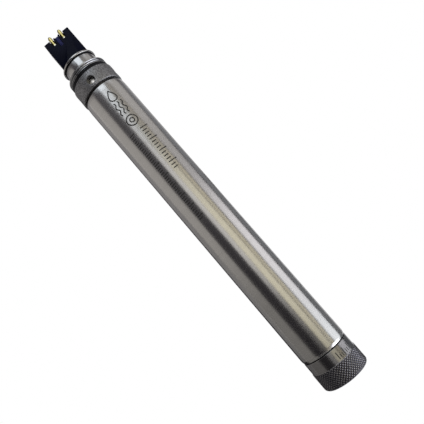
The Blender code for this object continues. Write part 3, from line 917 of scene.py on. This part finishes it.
def make_nose():
    """The plug under the tube, with the cap's thread, the window's seat and the optics bore."""
    nose_r, board_bore_r, holder_bore_r = 0.0066, 0.0059, 0.0052
    ledge_r, window_bore_r = 0.0039, 0.0050
    board_bore_base, ledge_top, ledge_base = -0.1252, -0.1354, -0.1366
    tube_groove_r, tube_groove_top, tube_groove_base = 0.0062, -0.1226, -0.1238
    cap_groove_r, cap_groove_top, cap_groove_base = 0.0058, -0.1329, -0.1340
    pitch, depth, thread_top, thread_base = 0.001, 0.0004, -0.1343, NOSE_BASE + 0.0003
    outline = [
        (PLUG_R, NOSE_TOP, 0.0003),
        (PLUG_R, tube_groove_top, EDGE),
        (tube_groove_r, tube_groove_top),
        (tube_groove_r, tube_groove_base),
        (PLUG_R, tube_groove_base, EDGE),
        (PLUG_R, TUBE_BASE, EDGE),
        (nose_r, TUBE_BASE),
        (nose_r, cap_groove_top, EDGE),
        (cap_groove_r, cap_groove_top),
        (cap_groove_r, cap_groove_base),
        *rows(nose_r, cap_groove_base, thread_base, pitch / THREAD_ROWS),
        (nose_r - depth, NOSE_BASE, EDGE),
        (window_bore_r, NOSE_BASE),
        (window_bore_r, ledge_base),
        (ledge_r, ledge_base),
        (ledge_r, ledge_top),
        (holder_bore_r, ledge_top),
        (holder_bore_r, board_bore_base),
        (board_bore_r, board_bore_base),
        (board_bore_r, NOSE_TOP),
    ]
    surface = thread_surface(nose_r, depth, pitch, thread_top, thread_base)
    turned(
        "nose_turning", outline, "titanium", "probe_body", ("sensor_nose",),
        SMOOTH_STEPS, surface=surface,
    )


def make_window():
    low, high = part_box("probe_window")
    corner = 0.0002
    outline = [(0, high.z), (high.x, high.z, corner), (high.x, low.z, corner), (0, low.z)]
    turned(
        "window_glass", outline, "clear_glass", "probe_body", ("probe_window",), DISC_STEPS
    )


# ---- electronics -----------------------------------------------------------------------------


def make_circuit_board():
    """The laminate with its two rows of plated test pads and four mounting holes."""
    low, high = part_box("circuit_board")
    inset, lower_hole, upper_hole = 0.0009, 0.0065, 0.0072
    hole_r, hole_length = 0.0005, 0.004
    columns = (low.x + inset, high.x - inset)
    shape = bmesh.new()
    add_box(shape, low, high, bevel=0.00006)
    board = piece_from(
        shape, "board_panel", "board_green", "probe_body", ("circuit_board",)
    )
    cutters = []
    for x in columns:
        for z in (low.z + lower_hole, high.z - upper_hole):
            cutters.append(rod_shape(hole_r, (x, 0, z), hole_length, (0, 1, 0), HOLE_STEPS))
    cut(board, cutters)
    half_width, half_height, lift = 0.00035, 0.0005, 0.00003
    first, pitch, count = 0.0100, 0.0026, 24
    pads = bmesh.new()
    for number in range(count):
        z = high.z - first - pitch * number
        for x in columns:
            pad_low = (x - half_width, low.y - lift, z - half_height)
            pad_high = (x + half_width, high.y + lift, z + half_height)
            add_box(pads, pad_low, pad_high, bevel=0.00002, segments=1)
    piece_from(pads, "board_pads", "gold", "probe_body")


CHIPS = {  # node: legs along each side
    "regulator_chip": 3,
    "timing_crystal": 2,
    "processor_chip": 12,
    "converter_chip": 8,
    "memory_chip": 4,
}
CHIP_STAND = 0.00012  # a package's height over the board
LEG_THICKNESS, LEG_REACH = 0.00012, 0.00045


def add_legs(shape, low, high, near, side, legs):
    """Adds a foot on the board and an upright into the package for each leg of both rows."""
    pitch = (high.z - low.z) / legs
    half_width = min(0.0002, pitch * 0.3)
    bend = near + side * (CHIP_STAND + 0.0003)
    foot_near, foot_far = sorted((near, near + side * LEG_THICKNESS))
    rise_near, rise_far = sorted((near + side * LEG_THICKNESS, bend))
    for number in range(legs):
        z = low.z + pitch * (number + 0.5)
        for edge, inner in ((low.x, low.x + LEG_REACH), (high.x, high.x - LEG_REACH)):
            left, right = sorted((edge, inner))
            add_box(shape, (left, foot_near, z - half_width), (right, foot_far, z + half_width))
            left, right = sorted((inner - math.copysign(LEG_THICKNESS, inner), inner))
            add_box(shape, (left, rise_near, z - half_width), (right, rise_far, z + half_width))


def make_chips():
    """Moulded packages with bent legs down both sides and a dimple at the first leg."""
    dimple_r, dimple_depth, dimple_x, dimple_z = 0.0002, 0.0001, 0.00095, 0.00055
    for node, legs in CHIPS.items():
        low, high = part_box(node)
        side = math.copysign(1, low.y + high.y)
        near, far = sorted((low.y, high.y), key=abs)
        depths = sorted((near + side * CHIP_STAND, far))
        shape = bmesh.new()
        package_low = (low.x + LEG_REACH, depths[0], low.z)
        add_box(shape, package_low, (high.x - LEG_REACH, depths[1], high.z), bevel=0.0001)
        material = "tinned_copper" if node == "timing_crystal" else "chip_black"
        chip = piece_from(shape, f"{node}_package", material, "probe_body", (node,))
        dimple = (low.x + dimple_x, far, high.z - dimple_z)
        cut(chip, [rod_shape(dimple_r, dimple, 2 * dimple_depth, (0, 1, 0), HOLE_STEPS)])
        leads = bmesh.new()
        add_legs(leads, low, high, near, side, legs)
        piece_from(leads, f"{node}_legs", "tinned_copper", "probe_body")


def make_inductor():
    """A shielded inductor: a ferrite block with a round well and its drum."""
    low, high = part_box("power_inductor")
    middle_x, middle_z = (low.x + high.x) / 2, (low.z + high.z) / 2
    well_r, well_depth, steps = 0.0019, 0.0006, 48
    drum_r, drum_height, drum_gap = 0.0015, 0.0005, 0.00002
    shape = bmesh.new()
    add_box(shape, low, high, bevel=0.0003, segments=3)
    block = piece_from(
        shape, "inductor_block", "chip_black", "probe_body", ("power_inductor",)
    )
    well = (middle_x, high.y, middle_z)
    cut(block, [rod_shape(well_r, well, 2 * well_depth, (0, 1, 0), steps)])
    outline = [(0, drum_height), (drum_r, drum_height, 0.0001), (drum_r, 0), (0, 0)]
    drum = lathe(bmesh.new(), rounded(outline), steps)
    turn_and_move(drum, (0, 1, 0), (middle_x, high.y - well_depth - drum_gap, middle_z))
    piece_from(drum, "inductor_drum", "chip_black", "probe_body")


# ---- stage: camera, lights, room, floor ------------------------------------------------------


def make_camera():
    """Close beside the probe, a little below its middle, and rolled so that the probe runs
    corner to corner."""
    distance, height = 0.1498, -0.10046
    aim_beside, aim_height = -0.0105, -0.07518
    roll = math.radians(40.13)
    data = bpy.data.cameras.new("camera")
    data.sensor_width = 36
    data.lens = 37.627
    data.shift_x, data.shift_y = 0.0593, 0.0581
    data.clip_start = 0.001
    camera = bpy.data.objects.new("camera", data)
    bpy.context.scene.collection.objects.link(camera)
    turn = Quaternion((0, 0, 1), -CAMERA_TURN)
    place = turn @ Vector((0, -distance, height))
    aim = turn @ Vector((aim_beside, 0, aim_height))
    camera.location = place
    camera.rotation_mode = "QUATERNION"
    look = (aim - place).to_track_quat("-Z", "Y")
    camera.rotation_quaternion = look @ Quaternion((0, 0, 1), -roll)
    bpy.context.scene.camera = camera


STAGE_MIDDLE = Vector((0, 0, -0.07))
STAGE_DISTANCE = 0.6
PANELS = {  # name: (azimuth from -Y towards +X, elevation, width, height, brightness, colour)
    "front_panel": (21, 0, 0.29, 0.46, 1.42, (1.0, 0.95, 0.74)),
    "front_edge_panel": (-3, 9, 0.20, 0.36, 1.22, (1.0, 0.99, 0.97)),
    "front_top_panel": (9, 43, 0.30, 0.24, 2.3, (0.84, 0.92, 1.0)),
    "overhead_panel": (25, 68, 0.80, 0.30, 0.95, (0.82, 0.91, 1.0)),
    "fill_panel": (39, 34, 0.16, 0.26, 0.42, (1.0, 0.95, 0.86)),
    "warm_panel": (45, 0, 0.13, 0.50, 1.10, (1.0, 0.92, 0.68)),
    "side_low_panel": (78, -30, 0.45, 0.36, 2.3, (0.88, 0.94, 1.0)),
    "underneath_panel": (65, -50, 0.43, 0.20, 5.6, (0.90, 0.92, 1.0)),
    "underneath_warm_panel": (16, -46, 0.20, 0.20, 0.6, (1.0, 0.92, 0.75)),
    "side_panel": (77, 0, 0.43, 0.26, 1.75, (0.965, 0.955, 1.0)),
    "side_top_panel": (77, 32, 0.44, 0.34, 0.68, (1.0, 0.98, 0.95)),
    "right_panel": (120, 0, 0.30, 0.80, 0.28, (0.88, 0.94, 1.0)),
    "rear_panel": (164, -18, 0.54, 0.70, 0.78, (0.97, 0.98, 1.0)),
    "rear_top_panel": (164, 32, 0.54, 0.36, 0.55, (1.0, 1.0, 1.0)),
    "left_panel": (-83, 22, 0.58, 0.50, 0.60, (1.0, 0.97, 0.92)),
    "left_low_panel": (-86, -24, 0.64, 0.56, 0.30, (1.0, 0.98, 0.93)),
    "far_left_panel": (-128, 12, 0.40, 0.70, 0.32, (1.0, 0.99, 0.98)),
}


def make_panels():
    """Soft boxes round the probe, all facing its middle. The probe mirrors them as its streaks."""
    for name, (azimuth, elevation, width, height, brightness, colour) in PANELS.items():
        data = bpy.data.lights.new(name, "AREA")
        data.shape = "RECTANGLE"
        data.size, data.size_y = width, height
        data.energy = brightness * math.pi * width * height
        data.color = colour
        light = bpy.data.objects.new(name, data)
        bpy.context.scene.collection.objects.link(light)
        around, up = math.radians(azimuth), math.radians(elevation)
        away = Vector((math.sin(around) * math.cos(up), -math.cos(around) * math.cos(up), math.sin(up)))
        light.location = STAGE_MIDDLE + away * STAGE_DISTANCE
        light.rotation_mode = "QUATERNION"
        light.rotation_quaternion = away.to_track_quat("Z", "Y")


def make_world():
    """White behind the probe, and a dim studio round it, darker below than above."""
    below, above = (0.005, 0.003, 0.007), (0.163, 0.155, 0.168)
    world = bpy.data.worlds.new("studio")
    bpy.context.scene.world = world
    world.use_nodes = True
    tree = world.node_tree
    room = tree.nodes["Background"]
    way = add_node(tree, "ShaderNodeTexCoord").outputs["Generated"]
    rise = add_node(tree, "ShaderNodeSeparateXYZ", {0: way}).outputs["Z"]
    tint = shades(tree, rise, below, above, start=-0.25, end=0.6)
    tree.links.new(tint, room.inputs["Color"])
    white = add_node(tree, "ShaderNodeBackground", {"Color": (1, 1, 1, 1)})
    seen = add_node(tree, "ShaderNodeLightPath").outputs["Is Camera Ray"]
    both = add_node(tree, "ShaderNodeMixShader", {0: seen, 1: room.outputs[0], 2: white.outputs[0]})
    tree.links.new(both.outputs[0], tree.nodes["World Output"].inputs["Surface"])


def make_floor():
    """A round pale floor, well below the hanging probe and out of the main view. It glows a
    little, so that its edge doesn't show against the white."""
    radius, height, dark, light = 0.36, -0.60, (0.88, 0.88, 0.88), (0.92, 0.92, 0.92)
    made, tree, shader = new_material("pale_floor", light, 0.7)
    grain = noise(tree, (40, 40, 40))
    tree.links.new(shades(tree, grain, dark, light), shader.inputs["Base Color"])
    shader.inputs["Emission Color"].default_value = (1, 1, 1, 1)
    shader.inputs["Emission Strength"].default_value = 0.6
    shape = bmesh.new()
    bmesh.ops.create_circle(shape, cap_ends=True, segments=DISC_STEPS, radius=radius)
    floor = object_from(shape, "floor")
    floor.data.materials.append(made)
    floor.location.z = height


# ---- everything ------------------------------------------------------------------------------


def paint_carried_nodes():
    """Gives every CAD node that stays in view its finished material."""
    for entry in frame["record"]["subparts"]:
        node = frame["nodes"][entry["node"]]
        if not node.hide_render:
            node.data.materials.clear()
            node.data.materials.append(MATERIALS[entry["material_slot"]])
            shade(node.data)


def main():
    bpy.context.scene.view_settings.view_transform = "Standard"
    make_camera()
    make_panels()
    make_world()
    make_floor()
    make_bulkhead()
    make_connector_block()
    make_keyway_liner()
    make_pins()
    make_nut()
    make_nut_ring()
    make_tube()
    make_body_marks()
    make_cap()
    make_cap_marks()
    make_sensing_face()
    make_nose()
    make_window()
    make_circuit_board()
    make_chips()
    make_inductor()
    make_gaskets()
    make_seals()
    paint_carried_nodes()


main()
